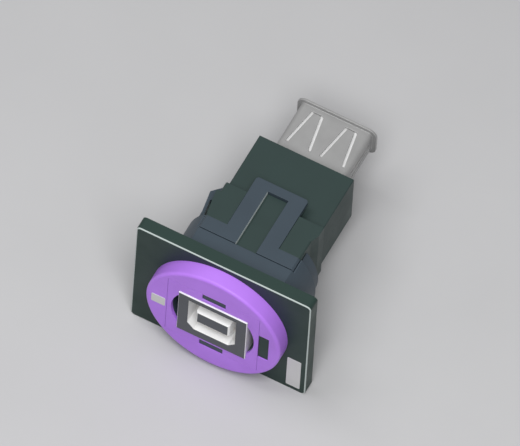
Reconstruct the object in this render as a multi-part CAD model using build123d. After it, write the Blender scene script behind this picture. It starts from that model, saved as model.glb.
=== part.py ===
"""Panel mount coupler: a type B socket in a panel frame, joined through a small board to a type A socket.

X runs along the flange plate's long side, Y from the front to the back, Z up.
The origin is the centre of the flange plate's rear face, which seats on the panel.
All sizes are in millimetres.
"""
from build123d import *
import os

os.makedirs("parts", exist_ok=True)

# Clearances
SEAT_GAP = 0.05
SLIDE_GAP = 0.08
LATCH_GAP = 0.05

# How far a cut runs past the face it opens, and a joined block into its neighbour
OVERRUN = 1.0

# Flange plate, with a key that stands in a window of the colour disc
PLATE_WIDTH = 31.0
PLATE_HEIGHT = 26.0
PLATE_THICKNESS = 2.3
PLATE_CORNER_RADIUS = 0.8
PLATE_EDGE_RADIUS = 0.3
RECESS_DEPTH = 0.4
KEY_WIDTH = 1.75
KEY_HEIGHT = 6.2
KEY_SETBACK = 0.15
KEY_ROOT = 1.0

# Colour disc and front insert, flush with each other
DISC_DIAMETER = 23.8
DISC_THICKNESS = 2.8
DISC_EDGE_RADIUS = 0.5
INSERT_WIDTH = 16.2
INSERT_HEIGHT = 14.8
INSERT_THICKNESS = 0.6
INSERT_BORE_DIAMETER = 14.7
NOTCH_WIDTH = 4.15
NOTCH_DEPTH = 1.35
TAB_SETBACK = 0.12

# Type B socket
B_SHELL_WIDTH = 12.15
B_SHELL_HEIGHT = 10.6
B_SHELL_LENGTH = 10.5
B_SHELL_PROUD = 0.3
B_SHELL_EDGE = 0.15
B_PORT_WIDTH = 8.45
B_PORT_HEIGHT = 7.78
B_PORT_LIFT = 0.4
B_PORT_CHAMFER = 1.2
B_PORT_DEPTH = 9.0
B_TONGUE_WIDTH = 5.9
B_TONGUE_HEIGHT = 3.0
B_TONGUE_SETBACK = 0.3
B_TONGUE_CHAMFER = 0.3
B_BASE_TAIL = 1.5
B_CONTACT_PITCH = 2.5
B_CONTACT_SETBACK = 1.7

# Type A socket
A_SHELL_WIDTH = 12.5
A_SHELL_HEIGHT = 5.0
A_SHELL_RADIUS = 0.8
A_SHEET = 0.2
A_REACH = 10.8
A_SEAT_DEPTH = 6.0
A_LIP_WIDTH = 14.0
A_LIP_HEIGHT = 6.5
A_LIP_RADIUS = 1.6
A_LIP_THICKNESS = 0.35
A_BASE_LENGTH = 4.0
A_TONGUE_SIDE_GAP = 0.5
A_TONGUE_HEIGHT = 1.84
A_TONGUE_TOP_GAP = 0.35
A_TONGUE_SETBACK = 0.9
A_CONTACT_SPREAD_OUTER = 7.0
A_CONTACT_SPREAD_INNER = 2.0
A_CONTACT_SETBACK = 1.0

# Spring fingers cut in the type A shell
FINGER_LENGTH = 6.7
FINGER_TIP_GAP = 1.2
FINGER_SLOT = 0.5
FINGER_TIP_SLIT = 0.12
FINGER_OFFSET = 3.0
FINGER_TIP_WIDTH = 1.65
FINGER_ROOT_WIDTH = 4.0
SIDE_FINGER_TIP_WIDTH = 0.9
SIDE_FINGER_ROOT_WIDTH = 1.8

# Contact strips
CONTACT_WIDTH = 1.0
CONTACT_THICKNESS = 0.25
CONTACT_FOOT = 1.4

# Carrier collar behind the plate
COLLAR_RADIUS = 11.35
COLLAR_WALL_LENGTH = 5.4
COLLAR_LENGTH = 8.1
STEP_RADIUS = 10.7
STEP_LENGTH = 2.1
POCKET_FRONT = 0.1
CHEEK_HEIGHT = 7.3

# Snap arm on the left of the collar
ARM_HEIGHT = 9.0
ARM_INNER = 9.5
ARM_THICKNESS = 0.5
ARM_FLARE = 0.36
ARM_FLARE_START = 10.0
ARM_FLARE_END = 12.4
BARB_PEAK = 10.6
BARB_POSITION = 13.9
ARM_TIP = 15.7
ARM_TIP_INNER = 8.65
ARM_TIP_THICKNESS = 0.25

# Housing halves
HOUSING_WIDTH = 16.8
NECK_WIDTH = 15.6
NECK_HEIGHT = 12.6
BLOCK_HEIGHT = 15.6
BLOCK_RADIUS = 11.3
BLOCK_END = 14.8
REAR_HEIGHT = 11.0
REAR_EDGE_RADIUS = 0.2
HOUSING_END = 26.2
LUG_PROUD = 0.6
LUG_BOTTOM = -5.2
RIGHT_LUG_START = 11.6
RIGHT_LUG_RAMP = 1.5
LEFT_LUG_START = 8.3
LEFT_LUG_RAMP = 4.1
LEFT_LUG_FLAT = 0.5

# Cover latches
LATCH_PROUD = 0.1
LATCH_THICKNESS = 1.0
LATCH_LENGTH = 12.5
LATCH_WIDTH = 9.15
LATCH_WINDOW = 3.66
LATCH_BAR = 1.6
LATCH_FOOT_LENGTH = 2.4
LATCH_CORNER_CHAMFER = 0.3
BOSS_DROP = 0.7
BOSS_DEPTH = 2.0

# Circuit board
BOARD_WIDTH = 11.0
BOARD_THICKNESS = 1.0
BOARD_LENGTH = 12.0
BOARD_GAP = 0.5
BOARD_RAIL = 0.6
BOARD_ROOM_HEIGHT = 6.0

# Places worked out from the sizes above
PLATE_FRONT = -PLATE_THICKNESS
DISC_FRONT = PLATE_FRONT - DISC_THICKNESS
INSERT_BACK = DISC_FRONT + INSERT_THICKNESS
WINDOW_WIDTH = INSERT_WIDTH + 2 * SEAT_GAP
WINDOW_HEIGHT = INSERT_HEIGHT + 2 * SEAT_GAP
BORE_WIDTH = B_SHELL_WIDTH + 2 * SEAT_GAP
BORE_HEIGHT = B_SHELL_HEIGHT + 2 * SEAT_GAP
KEY_CENTRE = (WINDOW_WIDTH + KEY_WIDTH) / 2
B_FRONT = DISC_FRONT - B_SHELL_PROUD
B_BACK = B_FRONT + B_SHELL_LENGTH
B_BASE_FRONT = B_FRONT + B_PORT_DEPTH
B_BASE_BACK = B_BACK + B_BASE_TAIL
COLLAR_FLAT = BLOCK_HEIGHT / 2
BLOCK_FRONT = COLLAR_WALL_LENGTH + SEAT_GAP
BOARD_FRONT = B_BASE_BACK + BOARD_GAP
BOARD_BACK = BOARD_FRONT + BOARD_LENGTH
A_FRONT = HOUSING_END - A_SEAT_DEPTH
A_BACK = HOUSING_END + A_REACH
A_INNER_WIDTH = A_SHELL_WIDTH - 2 * A_SHEET
A_INNER_HEIGHT = A_SHELL_HEIGHT - 2 * A_SHEET
A_BASE_BACK = A_FRONT + A_BASE_LENGTH
A_TONGUE_WIDTH = A_INNER_WIDTH - 2 * A_TONGUE_SIDE_GAP
A_TONGUE_TOP = A_INNER_HEIGHT / 2 - A_TONGUE_TOP_GAP
A_TONGUE_BOTTOM = A_TONGUE_TOP - A_TONGUE_HEIGHT
LATCH_FRONT = BLOCK_FRONT + LATCH_GAP
LATCH_TOP = BLOCK_HEIGHT / 2 + LATCH_PROUD
LATCH_UNDER = LATCH_TOP - LATCH_THICKNESS
LATCH_BACK = LATCH_FRONT + LATCH_LENGTH
FOOT_BACK = LATCH_FRONT + LATCH_FOOT_LENGTH


def along_y(section, start, end):
    """The section, drawn looking along +Y, drawn out from start to end."""
    return extrude(Plane.XZ.offset(-start) * section, amount=start - end)


def block(x_range, y_range, z_range):
    """A box between two corners."""
    size = [high - low for low, high in (x_range, y_range, z_range)]
    centre = [(high + low) / 2 for low, high in (x_range, y_range, z_range)]
    return Pos(*centre) * Box(*size)


def centred(width, start, end, height):
    """A box centred on the Y axis."""
    return block((-width / 2, width / 2), (start, end), (-height / 2, height / 2))


def flattened_circle(diameter, height):
    """A circle cut off flat above and below."""
    return Circle(diameter / 2) & Rectangle(diameter, height)


def front_bore(start, end):
    """The opening about the type B shell: its own outline, with a round bulge at each side."""
    outline = flattened_circle(INSERT_BORE_DIAMETER, BORE_HEIGHT) + Rectangle(BORE_WIDTH, BORE_HEIGHT)
    return along_y(outline, start, end)


def key_section(gap):
    """The key's outline beside the insert's window, grown by a gap all round."""
    return Pos(KEY_CENTRE, 0) * Rectangle(KEY_WIDTH + 2 * gap, KEY_HEIGHT + 2 * gap)


def collar_section(gap):
    """The collar's round outline with its top and bottom flats, grown by a gap all round."""
    return flattened_circle(2 * (COLLAR_RADIUS + gap), 2 * (COLLAR_FLAT + gap))


def make_flange_plate():
    """Rectangular plate with the boss's opening, the collar's recess and the key that holds the disc."""
    outline = RectangleRounded(PLATE_WIDTH, PLATE_HEIGHT, PLATE_CORNER_RADIUS)
    plate = along_y(outline, PLATE_FRONT, 0)
    front_face = plate.faces().sort_by(Axis.Y)[0]
    plate = fillet(front_face.edges(), PLATE_EDGE_RADIUS)
    plate -= centred(WINDOW_WIDTH, PLATE_FRONT - OVERRUN, OVERRUN, WINDOW_HEIGHT)
    plate -= along_y(collar_section(SEAT_GAP), -RECESS_DEPTH, OVERRUN)
    return plate + along_y(key_section(0), DISC_FRONT + KEY_SETBACK, PLATE_FRONT + KEY_ROOT)


def make_colour_disc():
    """Round disc on the plate's front, with a window for the insert and one for the key."""
    disc = along_y(Circle(DISC_DIAMETER / 2), DISC_FRONT, PLATE_FRONT)
    front_face = disc.faces().sort_by(Axis.Y)[0]
    disc = fillet(front_face.edges(), DISC_EDGE_RADIUS)
    disc -= centred(WINDOW_WIDTH, DISC_FRONT - OVERRUN, 0, WINDOW_HEIGHT)
    return disc - along_y(key_section(SEAT_GAP), DISC_FRONT - OVERRUN, 0)


def notch(side, gap, start, end):
    """A notch in the insert's upper or lower edge, shrunk by a gap."""
    half = NOTCH_WIDTH / 2 - gap
    edge = INSERT_HEIGHT / 2
    z_range = sorted((side * (edge - NOTCH_DEPTH + gap), side * edge))
    return block((-half, half), (start, end), z_range)


def make_front_insert():
    """Square face in the disc, open round the type B shell, notched for the carrier's tabs."""
    insert = centred(INSERT_WIDTH, DISC_FRONT, INSERT_BACK, INSERT_HEIGHT)
    insert -= front_bore(DISC_FRONT - OVERRUN, INSERT_BACK + OVERRUN)
    for side in (1, -1):
        insert -= notch(side, 0, DISC_FRONT - OVERRUN, INSERT_BACK + OVERRUN)
    return insert


def arm_outline():
    """The snap arm seen from above, with its barb and lead-in ramp."""
    root = COLLAR_LENGTH - OVERRUN
    outer = ARM_INNER + ARM_THICKNESS
    points = [
        (-ARM_INNER, root),
        (-ARM_INNER, ARM_FLARE_START),
        (-ARM_INNER - ARM_FLARE, ARM_FLARE_END),
        (-ARM_TIP_INNER, BARB_POSITION),
        (-ARM_TIP_INNER, ARM_TIP),
        (-ARM_TIP_INNER - ARM_TIP_THICKNESS, ARM_TIP),
        (-BARB_PEAK, BARB_POSITION),
        (-outer - ARM_FLARE, ARM_FLARE_END),
        (-outer, ARM_FLARE_START),
        (-outer, root),
    ]
    return make_face(Polyline(*points, close=True))


def make_carrier_collar():
    """Boss through the plate, collar behind it, two front tabs, two side cheeks and the snap arm."""
    boss = centred(INSERT_WIDTH, INSERT_BACK + SEAT_GAP, 0, INSERT_HEIGHT)
    collar = boss + along_y(collar_section(0), -RECESS_DEPTH, COLLAR_WALL_LENGTH)
    cheeks = along_y(Circle(COLLAR_RADIUS), COLLAR_WALL_LENGTH, COLLAR_LENGTH)
    step_end = COLLAR_LENGTH + STEP_LENGTH
    step = along_y(Circle(STEP_RADIUS), COLLAR_LENGTH, step_end)
    cheeks += step & block((0, STEP_RADIUS), (COLLAR_LENGTH, step_end), (-STEP_RADIUS, STEP_RADIUS))
    collar += cheeks & centred(2 * COLLAR_RADIUS, COLLAR_WALL_LENGTH, step_end, 2 * CHEEK_HEIGHT)
    for side in (1, -1):
        collar += notch(side, SEAT_GAP, DISC_FRONT + TAB_SETBACK, INSERT_BACK + OVERRUN)
    collar -= front_bore(DISC_FRONT - OVERRUN, OVERRUN)
    collar -= centred(
        NECK_WIDTH + 2 * SLIDE_GAP,
        POCKET_FRONT,
        COLLAR_WALL_LENGTH + OVERRUN,
        NECK_HEIGHT + 2 * SLIDE_GAP,
    )
    collar -= centred(
        HOUSING_WIDTH + 2 * SLIDE_GAP,
        COLLAR_WALL_LENGTH,
        HOUSING_END,
        2 * COLLAR_RADIUS,
    )
    arm = extrude(Pos(0, 0, -ARM_HEIGHT / 2) * arm_outline(), amount=ARM_HEIGHT)
    return collar + arm


def make_b_shell():
    """Metal block of the type B socket, with the port's two lower corners cut off."""
    shell = centred(B_SHELL_WIDTH, B_FRONT, B_BACK, B_SHELL_HEIGHT)
    shell = chamfer(shell.faces().sort_by(Axis.Y)[0].edges(), B_SHELL_EDGE)
    return shell - b_port(B_FRONT - OVERRUN, B_BACK + OVERRUN, 0)


def b_port(start, end, gap):
    """The type B port's opening, shrunk by a gap all round."""
    half = B_PORT_WIDTH / 2 - gap
    top = B_PORT_LIFT + B_PORT_HEIGHT / 2 - gap
    bottom = B_PORT_LIFT - B_PORT_HEIGHT / 2 + gap
    cut = B_PORT_CHAMFER
    points = [
        (-half, top),
        (half, top),
        (half, bottom + cut),
        (half - cut, bottom),
        (cut - half, bottom),
        (-half, bottom + cut),
    ]
    return along_y(make_face(Polyline(*points, close=True)), start, end)


def b_contact(x, side):
    """One type B contact: a strip on the tongue, a drop behind the base and a foot on the board."""
    x_range = (x - CONTACT_WIDTH / 2, x + CONTACT_WIDTH / 2)
    outer = side * B_TONGUE_HEIGHT / 2
    inner = outer - side * CONTACT_THICKNESS
    board = side * BOARD_THICKNESS / 2
    foot = board + side * CONTACT_THICKNESS
    start = B_FRONT + B_TONGUE_SETBACK + B_CONTACT_SETBACK
    drop = B_BASE_BACK + CONTACT_THICKNESS
    strip = block(x_range, (start, drop), sorted((inner, outer)))
    leg = block(x_range, (B_BASE_BACK, drop), sorted((board, outer)))
    pad = block(x_range, (B_BASE_BACK, BOARD_FRONT + CONTACT_FOOT), sorted((board, foot)))
    return strip + leg + pad


def make_b_contacts():
    """Two contacts above the tongue and two below."""
    places = [(x, side) for side in (1, -1) for x in (-B_CONTACT_PITCH / 2, B_CONTACT_PITCH / 2)]
    return [b_contact(x, side) for x, side in places]


def make_b_insulator(contacts):
    """Base that closes the back of the port, with the tongue that carries the contacts."""
    base = b_port(B_BASE_FRONT, B_BASE_BACK, SEAT_GAP)
    tongue = centred(B_TONGUE_WIDTH, B_FRONT + B_TONGUE_SETBACK, B_BASE_FRONT + OVERRUN, B_TONGUE_HEIGHT)
    tongue = chamfer(tongue.faces().sort_by(Axis.Y)[0].edges(), B_TONGUE_CHAMFER)
    insulator = base + tongue
    for contact in contacts:
        insulator -= contact
    return insulator


def finger_cuts(offset, tip_width, root_width):
    """Outline of one spring finger: two slots that spread towards the root, and a slit at the tip."""
    tip = A_BACK - FINGER_TIP_GAP
    root = tip - FINGER_LENGTH
    cuts = []
    for side in (-1, 1):
        tip_x = offset + side * tip_width / 2
        root_x = offset + side * root_width / 2
        half = FINGER_SLOT / 2
        points = [
            (tip_x - half, tip),
            (tip_x + half, tip),
            (root_x + half, root),
            (root_x - half, root),
        ]
        cuts.append(make_face(Polyline(*points, close=True)))
    slit = Pos(offset, tip - FINGER_TIP_SLIT / 2) * Rectangle(tip_width, FINGER_TIP_SLIT)
    return cuts + [slit]


def make_a_shell():
    """Folded sheet shell with a flat lip round its mouth and six spring fingers."""
    outline = RectangleRounded(A_SHELL_WIDTH, A_SHELL_HEIGHT, A_SHELL_RADIUS)
    lip = RectangleRounded(A_LIP_WIDTH, A_LIP_HEIGHT, A_LIP_RADIUS)
    inside = RectangleRounded(A_INNER_WIDTH, A_INNER_HEIGHT, A_SHELL_RADIUS - A_SHEET)
    shell = along_y(outline, A_FRONT, A_BACK) + along_y(lip, A_BACK - A_LIP_THICKNESS, A_BACK)
    shell -= along_y(inside, A_FRONT - OVERRUN, A_BACK + OVERRUN)
    for offset in (-FINGER_OFFSET, FINGER_OFFSET):
        for cut in finger_cuts(offset, FINGER_TIP_WIDTH, FINGER_ROOT_WIDTH):
            shell -= extrude(Pos(0, 0, -A_SHELL_HEIGHT) * cut, amount=2 * A_SHELL_HEIGHT)
    side_plane = Plane(origin=(-A_SHELL_WIDTH, 0, 0), x_dir=(0, 0, 1), z_dir=(1, 0, 0))
    for cut in finger_cuts(0, SIDE_FINGER_TIP_WIDTH, SIDE_FINGER_ROOT_WIDTH):
        turned = side_plane * (Rot(0, 0, 180) * cut)
        shell -= extrude(turned, amount=2 * A_SHELL_WIDTH)
    return shell


def a_contact(x):
    """One type A contact: a strip under the tongue, a rise behind the base and a foot on the board."""
    x_range = (x - CONTACT_WIDTH / 2, x + CONTACT_WIDTH / 2)
    board = BOARD_THICKNESS / 2
    end = A_BACK - A_TONGUE_SETBACK - A_CONTACT_SETBACK
    rise = A_FRONT - CONTACT_THICKNESS
    under = A_TONGUE_BOTTOM
    strip = block(x_range, (rise, end), (under, under + CONTACT_THICKNESS))
    leg = block(x_range, (rise, A_FRONT), (under, board + CONTACT_THICKNESS))
    pad = block(x_range, (BOARD_BACK - CONTACT_FOOT, A_FRONT), (board, board + CONTACT_THICKNESS))
    return strip + leg + pad


def make_a_contacts():
    """Four contacts, the outer pair set wider apart than the inner pair."""
    outer = A_CONTACT_SPREAD_OUTER / 2
    inner = A_CONTACT_SPREAD_INNER / 2
    return [a_contact(x) for x in (-outer, -inner, inner, outer)]


def make_a_insulator(contacts):
    """Base in the back of the type A shell, with the tongue that carries the contacts."""
    outline = RectangleRounded(
        A_INNER_WIDTH - 2 * SEAT_GAP, A_INNER_HEIGHT - 2 * SEAT_GAP, A_SHELL_RADIUS - A_SHEET
    )
    base = along_y(outline, A_FRONT, A_BASE_BACK)
    tongue = block(
        (-A_TONGUE_WIDTH / 2, A_TONGUE_WIDTH / 2),
        (A_BASE_BACK - OVERRUN, A_BACK - A_TONGUE_SETBACK),
        (A_TONGUE_BOTTOM, A_TONGUE_TOP),
    )
    insulator = base + tongue
    for contact in contacts:
        insulator -= contact
    return insulator


def make_latch(side):
    """Window latch on the housing's top or bottom, hinged at its feet, which are as wide as the block."""
    z_range = (LATCH_UNDER, LATCH_TOP)
    leaf = block((-LATCH_WIDTH / 2, LATCH_WIDTH / 2), (LATCH_FRONT, LATCH_BACK), z_range)
    feet = block((-HOUSING_WIDTH / 2, HOUSING_WIDTH / 2), (LATCH_FRONT, FOOT_BACK), z_range)
    leaf += feet & along_y(Circle(BLOCK_RADIUS), LATCH_FRONT, FOOT_BACK)
    corners = leaf.edges().filter_by(Axis.Z).group_by(Axis.Y)[-1]
    leaf = chamfer(corners, LATCH_CORNER_CHAMFER)
    leaf -= block(
        (-LATCH_WINDOW / 2, LATCH_WINDOW / 2),
        (LATCH_FRONT - OVERRUN, LATCH_BACK - LATCH_BAR),
        (LATCH_UNDER - OVERRUN, LATCH_TOP + OVERRUN),
    )
    return leaf if side > 0 else leaf.rotate(Axis.Y, 180)


def latch_pocket():
    """The pocket that the upper latch lies in, flush with the housing's top."""
    z_range = (LATCH_UNDER - SEAT_GAP, LATCH_TOP + OVERRUN)
    half = LATCH_WIDTH / 2 + LATCH_GAP
    start = BLOCK_FRONT - OVERRUN
    legs = block((-half, half), (start, BLOCK_END + OVERRUN), z_range)
    reach = HOUSING_WIDTH / 2 + OVERRUN
    return legs + block((-reach, reach), (start, FOOT_BACK + LATCH_GAP), z_range)


def latch_boss():
    """The boss that stands in the upper latch's window, with the latch's bar behind it."""
    half = LATCH_WINDOW / 2 - LATCH_GAP
    back = LATCH_BACK - LATCH_BAR - LATCH_GAP
    return block((-half, half), (BLOCK_FRONT, back), (LATCH_UNDER - BOSS_DEPTH, LATCH_TOP - BOSS_DROP))


def housing_room():
    """The room inside the housing for the sockets and the board."""
    b_shell_room = centred(
        B_SHELL_WIDTH + 2 * SEAT_GAP, -OVERRUN, B_BACK + SEAT_GAP, B_SHELL_HEIGHT + 2 * SEAT_GAP
    )
    b_base_room = b_port(B_BACK, BOARD_FRONT, -SEAT_GAP)
    board_room = centred(
        BOARD_WIDTH + 2 * SEAT_GAP,
        BOARD_FRONT - SEAT_GAP,
        BOARD_BACK + SEAT_GAP,
        BOARD_THICKNESS + 2 * SEAT_GAP,
    )
    parts_room = centred(BOARD_WIDTH - 2 * BOARD_RAIL, BOARD_FRONT - SEAT_GAP, A_FRONT, BOARD_ROOM_HEIGHT)
    a_section = RectangleRounded(
        A_SHELL_WIDTH + 2 * SEAT_GAP, A_SHELL_HEIGHT + 2 * SEAT_GAP, A_SHELL_RADIUS + SEAT_GAP
    )
    a_shell_room = along_y(a_section, A_FRONT - SEAT_GAP, HOUSING_END + OVERRUN)
    return b_shell_room + b_base_room + board_room + parts_room + a_shell_room


def lug(side, start, crest, end):
    """A fixed lug on one side: a ramp from start to its crest, then a flat that ends in a step."""
    inner = side * (HOUSING_WIDTH / 2 - OVERRUN)
    wall = side * HOUSING_WIDTH / 2
    outer = wall + side * LUG_PROUD
    points = [(inner, start), (wall, start), (outer, crest), (outer, end), (inner, end)]
    outline = make_face(Polyline(*points, close=True))
    return extrude(Pos(0, 0, LUG_BOTTOM) * outline, amount=BLOCK_HEIGHT / 2 - LUG_BOTTOM)


def make_housing():
    """Both housing halves in one: neck, front block with its lugs, and slimmer rear."""
    neck = centred(NECK_WIDTH, POCKET_FRONT + SEAT_GAP, BLOCK_FRONT + OVERRUN, NECK_HEIGHT)
    front = centred(HOUSING_WIDTH, BLOCK_FRONT, BLOCK_END, BLOCK_HEIGHT)
    front &= along_y(Circle(BLOCK_RADIUS), BLOCK_FRONT, BLOCK_END)
    rear = centred(HOUSING_WIDTH, BLOCK_END - OVERRUN, HOUSING_END, REAR_HEIGHT)
    rear = fillet(rear.edges().filter_by(Axis.Y), REAR_EDGE_RADIUS)
    housing = neck + front + rear
    housing += lug(1, RIGHT_LUG_START, RIGHT_LUG_START + RIGHT_LUG_RAMP, BLOCK_END)
    left_crest = LEFT_LUG_START + LEFT_LUG_RAMP
    housing += lug(-1, LEFT_LUG_START, left_crest, left_crest + LEFT_LUG_FLAT)
    for turn in (0, 180):
        housing -= latch_pocket().rotate(Axis.Y, turn)
        housing += latch_boss().rotate(Axis.Y, turn)
    return housing - housing_room()


def housing_half(housing, side):
    """The part of the housing above or below its parting plane."""
    reach = PLATE_WIDTH
    low, high = sorted((0, side * reach))
    return housing & block((-reach, reach), (-reach, 2 * reach), (low, high))


def make_board():
    """Bare circuit board that joins the two sockets."""
    return centred(BOARD_WIDTH, BOARD_FRONT, BOARD_BACK, BOARD_THICKNESS)


b_contacts = make_b_contacts()
a_contacts = make_a_contacts()
housing = make_housing()

nodes = {
    "flange_plate": make_flange_plate(),
    "colour_disc": make_colour_disc(),
    "front_insert": make_front_insert(),
    "carrier_collar": make_carrier_collar(),
    "upper_housing": housing_half(housing, 1),
    "lower_housing": housing_half(housing, -1),
    "latch_upper": make_latch(1),
    "latch_lower": make_latch(-1),
    "usb_b_shell": make_b_shell(),
    "usb_b_insulator": make_b_insulator(b_contacts),
    "circuit_board": make_board(),
    "usb_a_shell": make_a_shell(),
    "usb_a_insulator": make_a_insulator(a_contacts),
}
for number, contact in enumerate(b_contacts, start=1):
    nodes[f"usb_b_contact_{number}"] = contact
for number, contact in enumerate(a_contacts, start=1):
    nodes[f"usb_a_contact_{number}"] = contact

for name, solid in nodes.items():
    export_step(solid, f"parts/{name}.step")
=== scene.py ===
# %% [markdown]
# # A panel mount coupler, dressed for the camera
# The object is a flanged insert for an equipment panel.
# A square type B socket faces the user, and a flat type A socket points back into the cabinet.
# The solids come from a CAD model that is already packed, so this file leaves their shapes alone.
# It adds the finishes, the two bare tiles, the solder on the board, and the studio around them.

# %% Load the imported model
import math

import bmesh
import bpy
from mathutils import Matrix, Vector


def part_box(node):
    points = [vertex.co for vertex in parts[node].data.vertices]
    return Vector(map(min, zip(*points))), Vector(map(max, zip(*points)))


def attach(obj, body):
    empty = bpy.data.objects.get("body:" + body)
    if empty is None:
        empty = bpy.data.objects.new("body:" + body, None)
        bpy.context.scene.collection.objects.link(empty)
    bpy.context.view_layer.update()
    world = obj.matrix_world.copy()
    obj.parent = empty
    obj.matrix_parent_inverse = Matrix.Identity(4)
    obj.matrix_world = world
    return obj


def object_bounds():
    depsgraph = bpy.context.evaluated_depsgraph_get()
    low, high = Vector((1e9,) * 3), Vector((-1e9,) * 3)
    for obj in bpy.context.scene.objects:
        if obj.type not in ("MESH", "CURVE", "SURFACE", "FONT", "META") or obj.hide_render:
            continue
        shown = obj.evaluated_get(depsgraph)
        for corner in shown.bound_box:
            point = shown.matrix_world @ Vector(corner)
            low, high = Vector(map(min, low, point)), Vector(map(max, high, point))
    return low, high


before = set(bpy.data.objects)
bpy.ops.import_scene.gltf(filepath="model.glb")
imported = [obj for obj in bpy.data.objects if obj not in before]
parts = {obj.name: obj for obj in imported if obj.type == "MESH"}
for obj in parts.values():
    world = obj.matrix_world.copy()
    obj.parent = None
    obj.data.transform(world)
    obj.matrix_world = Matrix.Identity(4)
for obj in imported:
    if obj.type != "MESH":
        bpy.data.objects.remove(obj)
cad_low, cad_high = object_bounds()
MM = 0.001
print("parts:", len(parts), "size in mm:", [round(v / MM, 1) for v in cad_high - cad_low])

# %% [markdown]
# ## The camera
# The photograph shows no perspective: parallel edges stay parallel.
# A long lens would come close, but an orthographic camera has that look exactly.
# Its right and up directions were worked out from the plate's edges, so they are written as they came out.
# The Standard view keeps the colours as they are written, where a filmic one would pale them.

# %% Set up the camera
PICTURE_RIGHT = Vector((0.88335, 0.46713, 0.03825))
PICTURE_UP = Vector((-0.41670, 0.74538, 0.52034))
PICTURE_CENTRE = Vector((-0.306, 10.899, 7.435)) * MM
PICTURE_WIDTH = 81.62 * MM
CAMERA_DISTANCE = 300 * MM

towards_camera = PICTURE_RIGHT.cross(PICTURE_UP).normalized()
camera_data = bpy.data.cameras.new("studio_camera")
camera_data.type = "ORTHO"
camera_data.ortho_scale = PICTURE_WIDTH
camera_data.clip_start = 0.01
camera_data.clip_end = 5.0
camera = bpy.data.objects.new("studio_camera", camera_data)
axes = Matrix((PICTURE_RIGHT, PICTURE_UP, towards_camera)).transposed()
camera.matrix_world = Matrix.Translation(PICTURE_CENTRE + towards_camera * CAMERA_DISTANCE) @ axes.to_4x4()
bpy.context.scene.collection.objects.link(camera)
bpy.context.scene.camera = camera
bpy.context.scene.view_settings.view_transform = "Standard"
print("camera looks along", [round(-v, 3) for v in towards_camera])

# %% [markdown]
# ## Small helpers for shader nodes
# Every finish below is a tree of nodes.
# A helper that adds a node and one that joins two sockets keep those trees short to read.

# %% Node helpers
def add_node(tree, kind, **settings):
    """A new node with its settings; a number or colour for a socket is given in `inputs`."""
    node = tree.nodes.new(kind)
    for label, value in settings.pop("inputs", {}).items():
        node.inputs[label].default_value = value
    for label, value in settings.items():
        setattr(node, label, value)
    return node


def join(tree, source, target):
    tree.links.new(source, target)


def new_group(name, inputs, outputs):
    """An empty shader group with named sockets, and its two end nodes."""
    group = bpy.data.node_groups.new(name, "ShaderNodeTree")
    for label, kind, value in inputs:
        socket = group.interface.new_socket(name=label, in_out="INPUT", socket_type=kind)
        socket.default_value = value
    for label, kind in outputs:
        group.interface.new_socket(name=label, in_out="OUTPUT", socket_type=kind)
    return group, group.nodes.new("NodeGroupInput"), group.nodes.new("NodeGroupOutput")


def use_group(tree, group, **values):
    """The group placed in a material, with values for its inputs."""
    node = tree.nodes.new("ShaderNodeGroup")
    node.node_tree = group
    for label, value in values.items():
        node.inputs[label.replace("_", " ")].default_value = value
    return node


FLOAT, COLOUR, VECTOR = "NodeSocketFloat", "NodeSocketColor", "NodeSocketVector"
# The places of a Mix node's colour sockets, which share their names with its number sockets
MIX_A, MIX_B, MIX_RESULT = 6, 7, 2


def linear(red, green, blue):
    """A colour picked from a screen, 0 to 255, as the linear values that a shader takes."""
    return tuple((v / 255 / 12.92) if v <= 10 else ((v / 255 + 0.055) / 1.055) ** 2.4
                 for v in (red, green, blue)) + (1.0,)


print("helpers ready")

# %% [markdown]
# ## Moulded plastic
# The mould's walls are spark eroded, so every plastic face has a fine pebbled grain.
# A picture of the grain would need unwrapping.
# Noise on object coordinates needs none, and keeps its real scale.
# One group gives the pebbles as a height, a slow cloudiness in the colour, and the matching change in gloss.

# %% Group: moulded surface
moulded, start, end = new_group(
    "Moulded Surface",
    [("Colour", COLOUR, (0.5, 0.5, 0.5, 1)), ("Cloudiness", FLOAT, 0.1), ("Grain Size", FLOAT, 0.12 * MM),
     ("Gloss Low", FLOAT, 0.38), ("Gloss High", FLOAT, 0.52)],
    [("Colour", COLOUR), ("Roughness", FLOAT), ("Height", FLOAT)])
place = add_node(moulded, "ShaderNodeTexCoord")
per_metre = add_node(moulded, "ShaderNodeMath", operation="DIVIDE", inputs={0: 1.0})
join(moulded, start.outputs["Grain Size"], per_metre.inputs[1])
pebbles = add_node(moulded, "ShaderNodeTexNoise", inputs={"Detail": 2.0, "Roughness": 0.6})
clouds = add_node(moulded, "ShaderNodeTexNoise", inputs={"Scale": 140.0, "Detail": 3.0})
join(moulded, place.outputs["Object"], pebbles.inputs["Vector"])
join(moulded, per_metre.outputs[0], pebbles.inputs["Scale"])
join(moulded, place.outputs["Object"], clouds.inputs["Vector"])
depth = add_node(moulded, "ShaderNodeMapRange", inputs={"From Min": 0.3, "From Max": 0.7, "To Min": 1.0})
shade_floor = add_node(moulded, "ShaderNodeMath", operation="SUBTRACT", inputs={0: 1.0})
join(moulded, start.outputs["Cloudiness"], shade_floor.inputs[1])
join(moulded, clouds.outputs["Fac"], depth.inputs["Value"])
join(moulded, shade_floor.outputs[0], depth.inputs["To Max"])
shaded = add_node(moulded, "ShaderNodeVectorMath", operation="SCALE")
join(moulded, start.outputs["Colour"], shaded.inputs[0])
join(moulded, depth.outputs["Result"], shaded.inputs["Scale"])
gloss = add_node(moulded, "ShaderNodeMapRange", inputs={"From Min": 0.3, "From Max": 0.7})
join(moulded, clouds.outputs["Fac"], gloss.inputs["Value"])
join(moulded, start.outputs["Gloss Low"], gloss.inputs["To Min"])
join(moulded, start.outputs["Gloss High"], gloss.inputs["To Max"])
join(moulded, shaded.outputs[0], end.inputs["Colour"])
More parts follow.
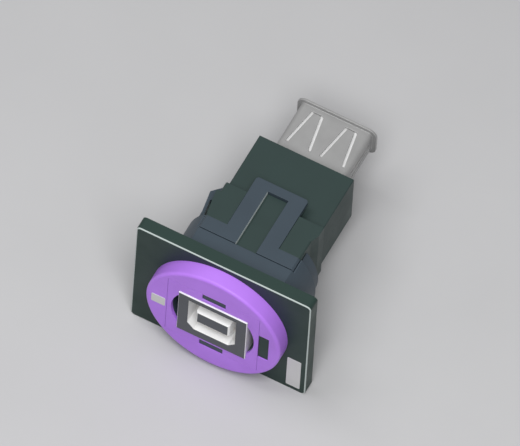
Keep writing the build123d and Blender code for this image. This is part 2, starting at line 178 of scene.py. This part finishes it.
join(moulded, gloss.outputs["Result"], end.inputs["Roughness"])
join(moulded, pebbles.outputs["Fac"], end.inputs["Height"])
print("group:", moulded.name, "with", len(moulded.nodes), "nodes")

# %% [markdown]
# ## Rubbed edges, and a painted sheen on metal edges
# Handling polishes a moulding's edges first, and a real edge is never perfectly sharp.
# The Bevel node looks round the edge and gives a rounded normal without touching the mesh.
# Where that normal leaves the face's own, there is an edge, and that difference is the edge mask.
# On plastics the mask marks wear. On metals it also carries a painted highlight along the edges.

# %% Group: edge wear and sheen
edge_wear_and_sheen, start, end = new_group(
    "Edge Wear And Sheen",
    [("Radius", FLOAT, 0.12 * MM), ("Reach", FLOAT, 0.25)],
    [("Mask", FLOAT), ("Normal", VECTOR)])
round_edge = add_node(edge_wear_and_sheen, "ShaderNodeBevel", samples=6)
face = add_node(edge_wear_and_sheen, "ShaderNodeNewGeometry")
agree = add_node(edge_wear_and_sheen, "ShaderNodeVectorMath", operation="DOT_PRODUCT")
join(edge_wear_and_sheen, start.outputs["Radius"], round_edge.inputs["Radius"])
join(edge_wear_and_sheen, round_edge.outputs["Normal"], agree.inputs[0])
join(edge_wear_and_sheen, face.outputs["Normal"], agree.inputs[1])
differ = add_node(edge_wear_and_sheen, "ShaderNodeMath", operation="SUBTRACT", inputs={0: 1.0})
join(edge_wear_and_sheen, agree.outputs["Value"], differ.inputs[1])
place = add_node(edge_wear_and_sheen, "ShaderNodeTexCoord")
patchy = add_node(edge_wear_and_sheen, "ShaderNodeTexNoise", inputs={"Scale": 900.0, "Detail": 2.0})
join(edge_wear_and_sheen, place.outputs["Object"], patchy.inputs["Vector"])
spread = add_node(edge_wear_and_sheen, "ShaderNodeMapRange", inputs={"To Max": 1.0})
join(edge_wear_and_sheen, differ.outputs[0], spread.inputs["Value"])
join(edge_wear_and_sheen, start.outputs["Reach"], spread.inputs["From Max"])
uneven = add_node(edge_wear_and_sheen, "ShaderNodeMath", operation="MULTIPLY", use_clamp=True)
join(edge_wear_and_sheen, spread.outputs["Result"], uneven.inputs[0])
join(edge_wear_and_sheen, patchy.outputs["Fac"], uneven.inputs[1])
join(edge_wear_and_sheen, uneven.outputs[0], end.inputs["Mask"])
join(edge_wear_and_sheen, round_edge.outputs["Normal"], end.inputs["Normal"])
print("group:", edge_wear_and_sheen.name, "with", len(edge_wear_and_sheen.nodes), "nodes")

# %% [markdown]
# ## The painted highlight on the plate's rim
# The plate's front edges are rounded, and the round catches the light as a thin pale line.
# Here that line is a painted highlight in the colour.
# A narrow line like that can be left to the lamps, but then it comes and goes with the view.
# On the round, the surface is turned part way between the front and the side.
# So the normal tells where the round is, and the painted highlight stays in every view.

# %% Group: painted rim highlight
painted_rim_highlight, start, end = new_group(
    "Painted Rim Highlight",
    [("Side Limit", FLOAT, 0.4), ("Front Limit", FLOAT, 0.95)],
    [("Mask", FLOAT)])
face = add_node(painted_rim_highlight, "ShaderNodeNewGeometry")
turned = add_node(painted_rim_highlight, "ShaderNodeSeparateXYZ")
amount = add_node(painted_rim_highlight, "ShaderNodeMath", operation="ABSOLUTE")
past_side = add_node(painted_rim_highlight, "ShaderNodeMath", operation="GREATER_THAN")
before_front = add_node(painted_rim_highlight, "ShaderNodeMath", operation="LESS_THAN")
both = add_node(painted_rim_highlight, "ShaderNodeMath", operation="MULTIPLY")
join(painted_rim_highlight, face.outputs["Normal"], turned.inputs[0])
join(painted_rim_highlight, turned.outputs["Y"], amount.inputs[0])
join(painted_rim_highlight, amount.outputs[0], past_side.inputs[0])
join(painted_rim_highlight, start.outputs["Side Limit"], past_side.inputs[1])
join(painted_rim_highlight, amount.outputs[0], before_front.inputs[0])
join(painted_rim_highlight, start.outputs["Front Limit"], before_front.inputs[1])
join(painted_rim_highlight, past_side.outputs[0], both.inputs[0])
join(painted_rim_highlight, before_front.outputs[0], both.inputs[1])
join(painted_rim_highlight, both.outputs[0], end.inputs["Mask"])
print("group:", painted_rim_highlight.name)

# %% [markdown]
# ## Painted highlight on the inner walls
# The narrow walls that look to the right show as pale lines, and here that pale is a painted highlight.
# They are the left wall of the latch's window, the wall beside its left foot and the snap arm's inner face.
# The collar and the latches are one plastic, so a mask picks these walls out on it.
# A wall counts when its normal points along +X.
# It also has to lie left of the middle and behind the collar's front wall.

# %% Group: painted wall highlight
painted_wall_highlight, start, end = new_group(
    "Painted Wall Highlight",
    [("Facing Limit", FLOAT, 0.9), ("Left Of", FLOAT, -1.0 * MM), ("Behind", FLOAT, 5.42 * MM)],
    [("Mask", FLOAT)])
face = add_node(painted_wall_highlight, "ShaderNodeNewGeometry")
place = add_node(painted_wall_highlight, "ShaderNodeTexCoord")
turned = add_node(painted_wall_highlight, "ShaderNodeSeparateXYZ")
split = add_node(painted_wall_highlight, "ShaderNodeSeparateXYZ")
looks_right = add_node(painted_wall_highlight, "ShaderNodeMath", operation="GREATER_THAN")
on_left = add_node(painted_wall_highlight, "ShaderNodeMath", operation="LESS_THAN")
behind = add_node(painted_wall_highlight, "ShaderNodeMath", operation="GREATER_THAN")
where = add_node(painted_wall_highlight, "ShaderNodeMath", operation="MULTIPLY")
every = add_node(painted_wall_highlight, "ShaderNodeMath", operation="MULTIPLY")
join(painted_wall_highlight, face.outputs["Normal"], turned.inputs[0])
join(painted_wall_highlight, place.outputs["Object"], split.inputs[0])
join(painted_wall_highlight, turned.outputs["X"], looks_right.inputs[0])
join(painted_wall_highlight, start.outputs["Facing Limit"], looks_right.inputs[1])
join(painted_wall_highlight, split.outputs["X"], on_left.inputs[0])
join(painted_wall_highlight, start.outputs["Left Of"], on_left.inputs[1])
join(painted_wall_highlight, split.outputs["Y"], behind.inputs[0])
join(painted_wall_highlight, start.outputs["Behind"], behind.inputs[1])
join(painted_wall_highlight, on_left.outputs[0], where.inputs[0])
join(painted_wall_highlight, behind.outputs[0], where.inputs[1])
join(painted_wall_highlight, where.outputs[0], every.inputs[0])
join(painted_wall_highlight, looks_right.outputs[0], every.inputs[1])
join(painted_wall_highlight, every.outputs[0], end.inputs["Mask"])
print("group:", painted_wall_highlight.name)

# %% [markdown]
# ## The four plastics
# The plate and the housing are one green black, the collar and the latches a blue grey.
# The disc and the front insert are violet, the colour code of the coupler.
# All four use the same two groups, with their own colour, cloudiness and gloss.
# The plate and the collar's plastic also take one of the two masks above, with a pale colour for a painted
# highlight.

# %% Plastic maker
def plastic(name, colour, rubbed_colour, cloudiness=0.12, gloss=(0.42, 0.56), grain=0.12, bump=0.25, edge=0.1,
            specular=0.3, highlight_mask=None, highlight_colour=None):
    """A moulded plastic: pebbled grain, cloudy colour, paler rubbed edges and, where a mask is given, a
    painted highlight.
    """
    material = bpy.data.materials.new(name)
    material.use_nodes = True
    tree = material.node_tree
    shader = tree.nodes["Principled BSDF"]
    shader.inputs["Specular IOR Level"].default_value = specular
    surface = use_group(tree, moulded, Colour=colour, Cloudiness=cloudiness, Grain_Size=grain * MM,
                        Gloss_Low=gloss[0], Gloss_High=gloss[1])
    wear_and_sheen = use_group(tree, edge_wear_and_sheen, Radius=edge * MM)
    paler = add_node(tree, "ShaderNodeMix", data_type="RGBA")
    paler.inputs[MIX_B].default_value = rubbed_colour
    bumps = add_node(tree, "ShaderNodeBump", inputs={"Strength": bump, "Distance": 0.02 * MM})
    join(tree, wear_and_sheen.outputs["Mask"], paler.inputs[0])
    join(tree, surface.outputs["Colour"], paler.inputs[MIX_A])
    last = paler
    # Painted highlight: the pale colour where the mask finds a rim or wall that catches the light.
    if highlight_mask:
        last = add_node(tree, "ShaderNodeMix", data_type="RGBA")
        last.inputs[MIX_B].default_value = highlight_colour
        join(tree, use_group(tree, highlight_mask).outputs["Mask"], last.inputs[0])
        join(tree, paler.outputs[MIX_RESULT], last.inputs[MIX_A])
    join(tree, last.outputs[MIX_RESULT], shader.inputs["Base Color"])
    join(tree, surface.outputs["Roughness"], shader.inputs["Roughness"])
    join(tree, surface.outputs["Height"], bumps.inputs["Height"])
    join(tree, wear_and_sheen.outputs["Normal"], bumps.inputs["Normal"])
    join(tree, bumps.outputs["Normal"], shader.inputs["Normal"])
    return material


plate_plastic = plastic("plate_plastic", linear(35, 56, 51), linear(72, 90, 86),
                        highlight_mask=painted_rim_highlight, highlight_colour=linear(188, 198, 196))
housing_plastic = plastic("housing_plastic", linear(44, 61, 59), linear(62, 77, 75))
collar_plastic = plastic("collar_plastic", linear(61, 73, 83), linear(84, 96, 108),
                         highlight_mask=painted_wall_highlight, highlight_colour=linear(228, 238, 238))
purple_plastic = plastic("purple_plastic", linear(190, 130, 246), linear(208, 150, 255), gloss=(0.34, 0.46))
print("plastics:", [m.name for m in (plate_plastic, housing_plastic, collar_plastic, purple_plastic)])

# %% [markdown]
# ## Sheet metal
# The type A shell is folded from plated strip, and rolling leaves fine streaks along it.
# Stretching noise along one axis draws such streaks, here along Y, the way the shell lies.
# The streaks feed the roughness and a shallow bump, and soft stains keep the plating from looking new.

# %% Group: rolled sheet
rolled, start, end = new_group(
    "Rolled Sheet",
    [("Colour", COLOUR, (0.7, 0.7, 0.7, 1)), ("Stain", FLOAT, 0.12), ("Streak Width", FLOAT, 0.08 * MM),
     ("Streak Length", FLOAT, 3 * MM), ("Gloss Low", FLOAT, 0.25), ("Gloss High", FLOAT, 0.42)],
    [("Colour", COLOUR), ("Roughness", FLOAT), ("Height", FLOAT)])
place = add_node(rolled, "ShaderNodeTexCoord")
across = add_node(rolled, "ShaderNodeMath", operation="DIVIDE", inputs={0: 1.0})
along = add_node(rolled, "ShaderNodeMath", operation="DIVIDE", inputs={0: 1.0})
join(rolled, start.outputs["Streak Width"], across.inputs[1])
join(rolled, start.outputs["Streak Length"], along.inputs[1])
scales = add_node(rolled, "ShaderNodeCombineXYZ")
join(rolled, across.outputs[0], scales.inputs["X"])
join(rolled, along.outputs[0], scales.inputs["Y"])
join(rolled, across.outputs[0], scales.inputs["Z"])
stretched = add_node(rolled, "ShaderNodeVectorMath", operation="MULTIPLY")
join(rolled, place.outputs["Object"], stretched.inputs[0])
join(rolled, scales.outputs[0], stretched.inputs[1])
streaks = add_node(rolled, "ShaderNodeTexNoise", inputs={"Scale": 1.0, "Detail": 3.0})
join(rolled, stretched.outputs[0], streaks.inputs["Vector"])
stains = add_node(rolled, "ShaderNodeTexNoise", inputs={"Scale": 260.0, "Detail": 4.0})
join(rolled, place.outputs["Object"], stains.inputs["Vector"])
stain_floor = add_node(rolled, "ShaderNodeMath", operation="SUBTRACT", inputs={0: 1.0})
join(rolled, start.outputs["Stain"], stain_floor.inputs[1])
dull = add_node(rolled, "ShaderNodeMapRange", inputs={"From Min": 0.35, "From Max": 0.7, "To Min": 1.0})
join(rolled, stains.outputs["Fac"], dull.inputs["Value"])
join(rolled, stain_floor.outputs[0], dull.inputs["To Max"])
stained = add_node(rolled, "ShaderNodeVectorMath", operation="SCALE")
join(rolled, start.outputs["Colour"], stained.inputs[0])
join(rolled, dull.outputs["Result"], stained.inputs["Scale"])
gloss = add_node(rolled, "ShaderNodeMapRange", inputs={"From Min": 0.3, "From Max": 0.7})
join(rolled, streaks.outputs["Fac"], gloss.inputs["Value"])
join(rolled, start.outputs["Gloss Low"], gloss.inputs["To Min"])
join(rolled, start.outputs["Gloss High"], gloss.inputs["To Max"])
join(rolled, stained.outputs[0], end.inputs["Colour"])
join(rolled, gloss.outputs["Result"], end.inputs["Roughness"])
join(rolled, streaks.outputs["Fac"], end.inputs["Height"])
print("group:", rolled.name, "with", len(rolled.nodes), "nodes")

# %% Metal maker
def metal(name, colour, edge_highlight_colour, metallic=1.0, stain=0.12, gloss=(0.25, 0.42), streak=(0.08, 3.0),
          bump=0.15, edge=0.05):
    """A plated metal with streaks along its length and rounded edges, made brighter by wear and by a painted
    highlight.
    """
    material = bpy.data.materials.new(name)
    material.use_nodes = True
    tree = material.node_tree
    shader = tree.nodes["Principled BSDF"]
    shader.inputs["Metallic"].default_value = metallic
    surface = use_group(tree, rolled, Colour=colour, Stain=stain, Streak_Width=streak[0] * MM,
                        Streak_Length=streak[1] * MM, Gloss_Low=gloss[0], Gloss_High=gloss[1])
    wear_and_sheen = use_group(tree, edge_wear_and_sheen, Radius=edge * MM)
    bumps = add_node(tree, "ShaderNodeBump", inputs={"Strength": bump, "Distance": 0.01 * MM})
    # Brighter edges: partly rubbed plating, partly a painted highlight.
    edge_highlight = add_node(tree, "ShaderNodeMix", data_type="RGBA")
    edge_highlight.inputs[MIX_B].default_value = edge_highlight_colour
    join(tree, wear_and_sheen.outputs["Mask"], edge_highlight.inputs[0])
    join(tree, surface.outputs["Colour"], edge_highlight.inputs[MIX_A])
    join(tree, edge_highlight.outputs[MIX_RESULT], shader.inputs["Base Color"])
    join(tree, surface.outputs["Roughness"], shader.inputs["Roughness"])
    join(tree, surface.outputs["Height"], bumps.inputs["Height"])
    join(tree, wear_and_sheen.outputs["Normal"], bumps.inputs["Normal"])
    join(tree, bumps.outputs["Normal"], shader.inputs["Normal"])
    return material


shell_metal = metal("shell_metal", linear(162, 162, 162), linear(240, 240, 240), metallic=0.3,
                    gloss=(0.35, 0.5), edge=0.12)
contact_metal = metal("contact_metal", linear(222, 184, 106), linear(240, 214, 150),
                      gloss=(0.18, 0.3), streak=(0.03, 1.0))
solder_metal = metal("solder_metal", linear(190, 192, 196), linear(215, 216, 220),
                     gloss=(0.15, 0.3), streak=(0.1, 0.1))
print("metals:", [m.name for m in (shell_metal, contact_metal, solder_metal)])

# %% [markdown]
# ## The type B socket's lit and shaded tones
# Its metal block and its plastic tongue look white on the faces inside the port.
# On the front plane, both are dark grey, and that dark grey is painted shade: a shaded copy of the same
# finish.
# The two tones meet at a sharp line on the same piece, so one material has to hold both.
# The front plane is flat, so the object coordinate along Y tells which side of that line a point is on.

# %% Group: front plane
front_plane, start, end = new_group(
    "Front Plane",
    [("Depth", FLOAT, -5.3 * MM), ("Softness", FLOAT, 0.02 * MM)],
    [("Mask", FLOAT)])
place = add_node(front_plane, "ShaderNodeTexCoord")
split = add_node(front_plane, "ShaderNodeSeparateXYZ")
join(front_plane, place.outputs["Object"], split.inputs[0])
past = add_node(front_plane, "ShaderNodeMath", operation="SUBTRACT")
join(front_plane, start.outputs["Depth"], past.inputs[0])
join(front_plane, split.outputs["Y"], past.inputs[1])
edge = add_node(front_plane, "ShaderNodeMath", operation="DIVIDE", use_clamp=True)
join(front_plane, past.outputs[0], edge.inputs[0])
join(front_plane, start.outputs["Softness"], edge.inputs[1])
join(front_plane, edge.outputs[0], end.inputs["Mask"])
print("group:", front_plane.name)

# %% Lit and shaded finishes
def lit_and_shaded_finish(name, inside, front, depth, surface_group, metallic=0.0, **values):
    """A finish that is one colour inside the port and a darker copy of it, painted shade, on the front plane.
    """
    material = bpy.data.materials.new(name)
    material.use_nodes = True
    tree = material.node_tree
    shader = tree.nodes["Principled BSDF"]
    shader.inputs["Metallic"].default_value = metallic
    surface = use_group(tree, surface_group, Colour=inside, **values)
    # The front copy is painted shade: the same finish in a darker colour.
    shaded_copy = use_group(tree, surface_group, Colour=front, **values)
    mask = use_group(tree, front_plane, Depth=depth * MM)
    wear_and_sheen = use_group(tree, edge_wear_and_sheen, Radius=0.05 * MM)
    tone = add_node(tree, "ShaderNodeMix", data_type="RGBA")
    bumps = add_node(tree, "ShaderNodeBump", inputs={"Strength": 0.15, "Distance": 0.01 * MM})
    join(tree, mask.outputs["Mask"], tone.inputs[0])
    join(tree, surface.outputs["Colour"], tone.inputs[MIX_A])
    join(tree, shaded_copy.outputs["Colour"], tone.inputs[MIX_B])
    join(tree, tone.outputs[MIX_RESULT], shader.inputs["Base Color"])
    join(tree, surface.outputs["Roughness"], shader.inputs["Roughness"])
    join(tree, surface.outputs["Height"], bumps.inputs["Height"])
    join(tree, wear_and_sheen.outputs["Normal"], bumps.inputs["Normal"])
    join(tree, bumps.outputs["Normal"], shader.inputs["Normal"])
    return material


# The white inside is the lit tone; the dark grey front tone of both parts is painted shade.
socket_metal = lit_and_shaded_finish("socket_metal", linear(252, 252, 252), linear(78, 82, 87), -5.33, rolled,
                        metallic=0.1, Gloss_Low=0.35, Gloss_High=0.5)
b_insulator = lit_and_shaded_finish("b_insulator", linear(253, 253, 253), linear(78, 82, 87), -5.06, moulded,
                       Cloudiness=0.05, Gloss_Low=0.4, Gloss_High=0.55)
print("two-tone finishes:", socket_metal.name, b_insulator.name)

# %% [markdown]
# ## White insulator and the board
# The type A socket's insulator is white nylon.
# It shows through the shell's slots as thin white lines.
# The board inside is covered in green solder mask.
# It is hidden in use, but it is seen when the halves are taken apart.

# %% Nylon and solder mask
a_insulator = plastic("a_insulator", linear(243, 243, 243), linear(252, 252, 252), cloudiness=0.04,
                      gloss=(0.4, 0.55), edge=0.06)
board_mask = plastic("board_mask", linear(38, 104, 62), linear(150, 160, 120), cloudiness=0.2,
                     gloss=(0.2, 0.34), grain=0.3, bump=0.1, edge=0.05)
print("finishes:", a_insulator.name, board_mask.name)

# %% [markdown]
# ## Giving each part its finish
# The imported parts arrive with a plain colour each, in a material slot of their own.
# Assigning to that slot changes only the looks. The mesh and its place stay as they were packed.

# %% Assign the finishes
finishes = {
    plate_plastic: ["flange_plate"],
    purple_plastic: ["colour_disc", "front_insert"],
    collar_plastic: ["carrier_collar", "latch_upper", "latch_lower"],
    housing_plastic: ["upper_housing", "lower_housing"],
    socket_metal: ["usb_b_shell"],
    b_insulator: ["usb_b_insulator"],
    board_mask: ["circuit_board"],
    shell_metal: ["usb_a_shell"],
    a_insulator: ["usb_a_insulator"],
    contact_metal: [name for name in parts if "_contact_" in name],
}
for material, names in finishes.items():
    for name in names:
        for slot in parts[name].material_slots:
            slot.material = material
print("finished parts:", sum(len(names) for names in finishes.values()), "of", len(parts))

# %% [markdown]
# ## Two bare tiles
# A small pale tile sits on the disc, left of the socket, and a tall one on the plate's lower right.
# Here they stay bare. Each is a thin pad with rounded corners and a soft upper edge.
# A rounded outline extruded and bevelled in mesh code gives exactly that, with few faces.

# %% Tile finish
tile_grey = plastic("tile_grey", linear(214, 214, 214), linear(232, 232, 232), cloudiness=0.08,
                    gloss=(0.42, 0.56), grain=0.08, bump=0.15, edge=0.03)


# %% Tile maker
def tile(name, centre, width, height, face_y, thickness=0.08, corner=0.22, steps=5):
    """A thin pad on a face that looks along -Y, in millimetres."""
    outline = []
    for quarter, (sx, sz) in enumerate(((1, 1), (-1, 1), (-1, -1), (1, -1))):
        for step in range(steps + 1):
            angle = math.radians(90 * (quarter + step / steps))
            outline.append((centre[0] + sx * (width / 2 - corner) + corner * math.cos(angle),
                            centre[1] + sz * (height / 2 - corner) + corner * math.sin(angle)))
    work = bmesh.new()
    ring = [work.verts.new((x * MM, face_y * MM, z * MM)) for x, z in outline]
    base = work.faces.new(ring)
    raised = bmesh.ops.extrude_face_region(work, geom=[base])
    moved = [v for v in raised["geom"] if isinstance(v, bmesh.types.BMVert)]
    bmesh.ops.translate(work, vec=(0, -thickness * MM, 0), verts=moved)
    top_edges = [e for e in work.edges if all(v in moved for v in e.verts)]
    bmesh.ops.bevel(work, geom=top_edges, offset=0.03 * MM, segments=2, affect="EDGES", profile=0.5)
    bmesh.ops.recalc_face_normals(work, faces=work.faces)
    mesh = bpy.data.meshes.new(name)
    work.to_mesh(mesh)
    work.free()
    pad = bpy.data.objects.new(name, mesh)
    pad.data.materials.append(tile_grey)
    bpy.context.scene.collection.objects.link(pad)
    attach(pad, "coupler")
    return pad


PLATE_FACE = -2.3
SINK = 0.01
disc_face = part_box("colour_disc")[0].y / MM
disc_tile = tile("disc_tile", centre=(-9.6, 0.0), width=2.45, height=2.15, face_y=disc_face + SINK)
plate_tile = tile("plate_tile", centre=(13.3, -8.0), width=2.45, height=7.8, face_y=PLATE_FACE + SINK)
for pad in (disc_tile, plate_tile):
    print(pad.name, "with", len(pad.data.polygons), "faces")

# %% [markdown]
# ## Solder on the board
# Each contact's foot is soldered to the board, and the solder wets up the foot's end in a small fillet.
# Eight fillets are one shape repeated, so Geometry Nodes copies one flat drop to eight points.
# The points come from the contacts' own boxes, so the solder follows them if the model changes.

# %% Find the feet
FOOT_LENGTH = 1.4 * MM
FOOT_GAP = 0.1 * MM


def solder_point(name):
    """The middle of a foot's free end, where it meets the board."""
    board_low, board_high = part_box("circuit_board")
    low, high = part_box(name)
    if low.y < board_low.y:
        y = min(high.y, board_low.y + FOOT_LENGTH) + FOOT_GAP
        on_top = high.z > board_high.z + FOOT_GAP and low.z >= board_low.z - FOOT_GAP
    else:
        y = max(low.y, board_high.y - FOOT_LENGTH) - FOOT_GAP
        on_top = True
    return Vector(((low.x + high.x) / 2, y, board_high.z if on_top else board_low.z))


feet = [solder_point(name) for name in sorted(parts) if "_contact_" in name]
print("feet:", [[round(v / MM, 2) for v in point] for point in feet])

# %% Solder node tree
DROP_RADIUS = 0.42 * MM
DROP_HEIGHT = 0.26 * MM


def solder_tree():
    """Copies one flat drop of solder to every vertex, half of it sunk in the board."""
    tree = bpy.data.node_groups.new("Solder Drops", "GeometryNodeTree")
    sockets = [("Geometry", "NodeSocketGeometry", None), ("Drop Radius", FLOAT, DROP_RADIUS),
               ("Drop Height", FLOAT, DROP_HEIGHT), ("Solder", "NodeSocketMaterial", None)]
    for label, kind, value in sockets:
        socket = tree.interface.new_socket(name=label, in_out="INPUT", socket_type=kind)
        if value is not None:
            socket.default_value = value
    tree.interface.new_socket(name="Geometry", in_out="OUTPUT", socket_type="NodeSocketGeometry")
    start, end = tree.nodes.new("NodeGroupInput"), tree.nodes.new("NodeGroupOutput")
    drop = add_node(tree, "GeometryNodeMeshUVSphere", inputs={"Segments": 20, "Rings": 10, "Radius": 1.0})
    size = add_node(tree, "ShaderNodeCombineXYZ")
    shape = add_node(tree, "GeometryNodeTransform")
    copies = add_node(tree, "GeometryNodeInstanceOnPoints")
    real = add_node(tree, "GeometryNodeRealizeInstances")
    smooth = add_node(tree, "GeometryNodeSetShadeSmooth")
    paint = add_node(tree, "GeometryNodeSetMaterial")
    for axis in ("X", "Y"):
        join(tree, start.outputs["Drop Radius"], size.inputs[axis])
    join(tree, start.outputs["Drop Height"], size.inputs["Z"])
    join(tree, drop.outputs["Mesh"], shape.inputs["Geometry"])
    join(tree, size.outputs[0], shape.inputs["Scale"])
    join(tree, start.outputs["Geometry"], copies.inputs["Points"])
    join(tree, shape.outputs[0], copies.inputs["Instance"])
    join(tree, copies.outputs[0], real.inputs[0])
    join(tree, real.outputs[0], smooth.inputs["Geometry"])
    join(tree, smooth.outputs[0], paint.inputs["Geometry"])
    join(tree, start.outputs["Solder"], paint.inputs["Material"])
    join(tree, paint.outputs[0], end.inputs[0])
    return tree


# %% Make the solder
def make_solder():
    """One mesh with all the drops, made plain so that it can ride on the coupler."""
    seeds = bpy.data.meshes.new("solder_seeds")
    seeds.from_pydata([tuple(point) for point in feet], [], [])
    holder = bpy.data.objects.new("solder_seeds", seeds)
    bpy.context.scene.collection.objects.link(holder)
    modifier = holder.modifiers.new("drops", "NODES")
    modifier.node_group = solder_tree()
    wanted = {"Drop Radius": DROP_RADIUS, "Drop Height": DROP_HEIGHT, "Solder": solder_metal}
    for item in modifier.node_group.interface.items_tree:
        if item.in_out == "INPUT" and item.name in wanted:
            modifier[item.identifier] = wanted[item.name]
    evaluated = holder.evaluated_get(bpy.context.evaluated_depsgraph_get())
    mesh = bpy.data.meshes.new_from_object(evaluated)
    bpy.data.objects.remove(holder)
    mesh.name = "board_solder"
    solder = bpy.data.objects.new("board_solder", mesh)
    bpy.context.scene.collection.objects.link(solder)
    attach(solder, "coupler")
    return solder


solder = make_solder()
print("solder:", len(solder.data.polygons), "faces in", solder.name)

# %% [markdown]
# ## Floor and background
# A product picture wants a pale ground with a soft shadow, and nothing else.
# A wide plane in pale grey is enough. A trace of noise keeps it from looking like empty screen.

# %% Pale floor
FLOOR_REACH = 1.5
FLOOR_GAP = 0.02 * MM
FLOOR_TONES = (0.54, 0.54, 0.55, 1), (0.57, 0.57, 0.58, 1)

floor_mesh = bpy.data.meshes.new("floor")
floor_level = cad_low.z - FLOOR_GAP
corners = [(x * FLOOR_REACH, y * FLOOR_REACH, floor_level) for x, y in ((-1, -1), (1, -1), (1, 1), (-1, 1))]
floor_mesh.from_pydata(corners, [], [(0, 1, 2, 3)])
floor = bpy.data.objects.new("floor", floor_mesh)
bpy.context.scene.collection.objects.link(floor)
floor_paint = bpy.data.materials.new("floor_paint")
floor_paint.use_nodes = True
tree = floor_paint.node_tree
shader = tree.nodes["Principled BSDF"]
shader.inputs["Roughness"].default_value = 0.7
shader.inputs["Specular IOR Level"].default_value = 0.2
place = add_node(tree, "ShaderNodeTexCoord")
mottle = add_node(tree, "ShaderNodeTexNoise", inputs={"Scale": 60.0, "Detail": 3.0})
tint = add_node(tree, "ShaderNodeMix", data_type="RGBA")
tint.inputs[MIX_A].default_value = FLOOR_TONES[0]
tint.inputs[MIX_B].default_value = FLOOR_TONES[1]
join(tree, place.outputs["Object"], mottle.inputs["Vector"])
join(tree, mottle.outputs["Fac"], tint.inputs[0])
join(tree, tint.outputs[MIX_RESULT], shader.inputs["Base Color"])
floor_mesh.materials.append(floor_paint)
print("floor at", round(floor_level / MM, 2), "mm")

# %% [markdown]
# ## Studio light
# In the photograph no face lies in a hard shadow, and even the floor of the port is bright.
# That look comes from a wide softbox close to the camera's own direction.
# It reaches all that the camera sees.
# A second softbox at the upper left makes the top faces brighter than the front.
# An even sky fills in the rest.
# A softbox is an area lamp. Its power is worked out from its distance, so that `level` is the brightness
# that it alone would give to a white card facing it.

# %% Sky
AMBIENT = 0.2
SEEN_SKY = 0.62
world = bpy.data.worlds.new("studio")
bpy.context.scene.world = world
world.use_nodes = True
tree = world.node_tree
background = tree.nodes["Background"]
ray = add_node(tree, "ShaderNodeLightPath")
seen = add_node(tree, "ShaderNodeMath", operation="MAXIMUM")
shown = add_node(tree, "ShaderNodeMath", operation="MAXIMUM")
level = add_node(tree, "ShaderNodeMapRange", inputs={"To Min": AMBIENT, "To Max": SEEN_SKY})
join(tree, ray.outputs["Is Camera Ray"], seen.inputs[0])
join(tree, ray.outputs["Is Glossy Ray"], seen.inputs[1])
join(tree, seen.outputs[0], shown.inputs[0])
join(tree, ray.outputs["Is Transmission Ray"], shown.inputs[1])
join(tree, shown.outputs[0], level.inputs["Value"])
join(tree, level.outputs["Result"], background.inputs["Strength"])
background.inputs["Color"].default_value = (1.0, 1.0, 1.0, 1.0)
print("sky level:", AMBIENT)


# %% Softboxes
OBJECT_MIDDLE = Vector((0.0, 12.0, 0.0))


def softbox(name, place, size, level):
    """A square lamp that faces the middle of the object, in millimetres."""
    aim = OBJECT_MIDDLE * MM
    spot = Vector(place) * MM
    distance = (spot - aim).length
    lamp_data = bpy.data.lights.new(name, "AREA")
    lamp_data.shape = "SQUARE"
    lamp_data.size = size * MM
    lamp_data.energy = level * math.pi ** 2 * distance ** 2
    lamp = bpy.data.objects.new(name, lamp_data)
    lamp.location = spot
    lamp.rotation_euler = (aim - spot).to_track_quat("-Z", "Y").to_euler()
    bpy.context.scene.collection.objects.link(lamp)
    return lamp


softbox("camera_softbox", place=(95, -185, 390), size=190, level=0.7)
softbox("upper_left_softbox", place=(-140, -20, 400), size=200, level=0.32)
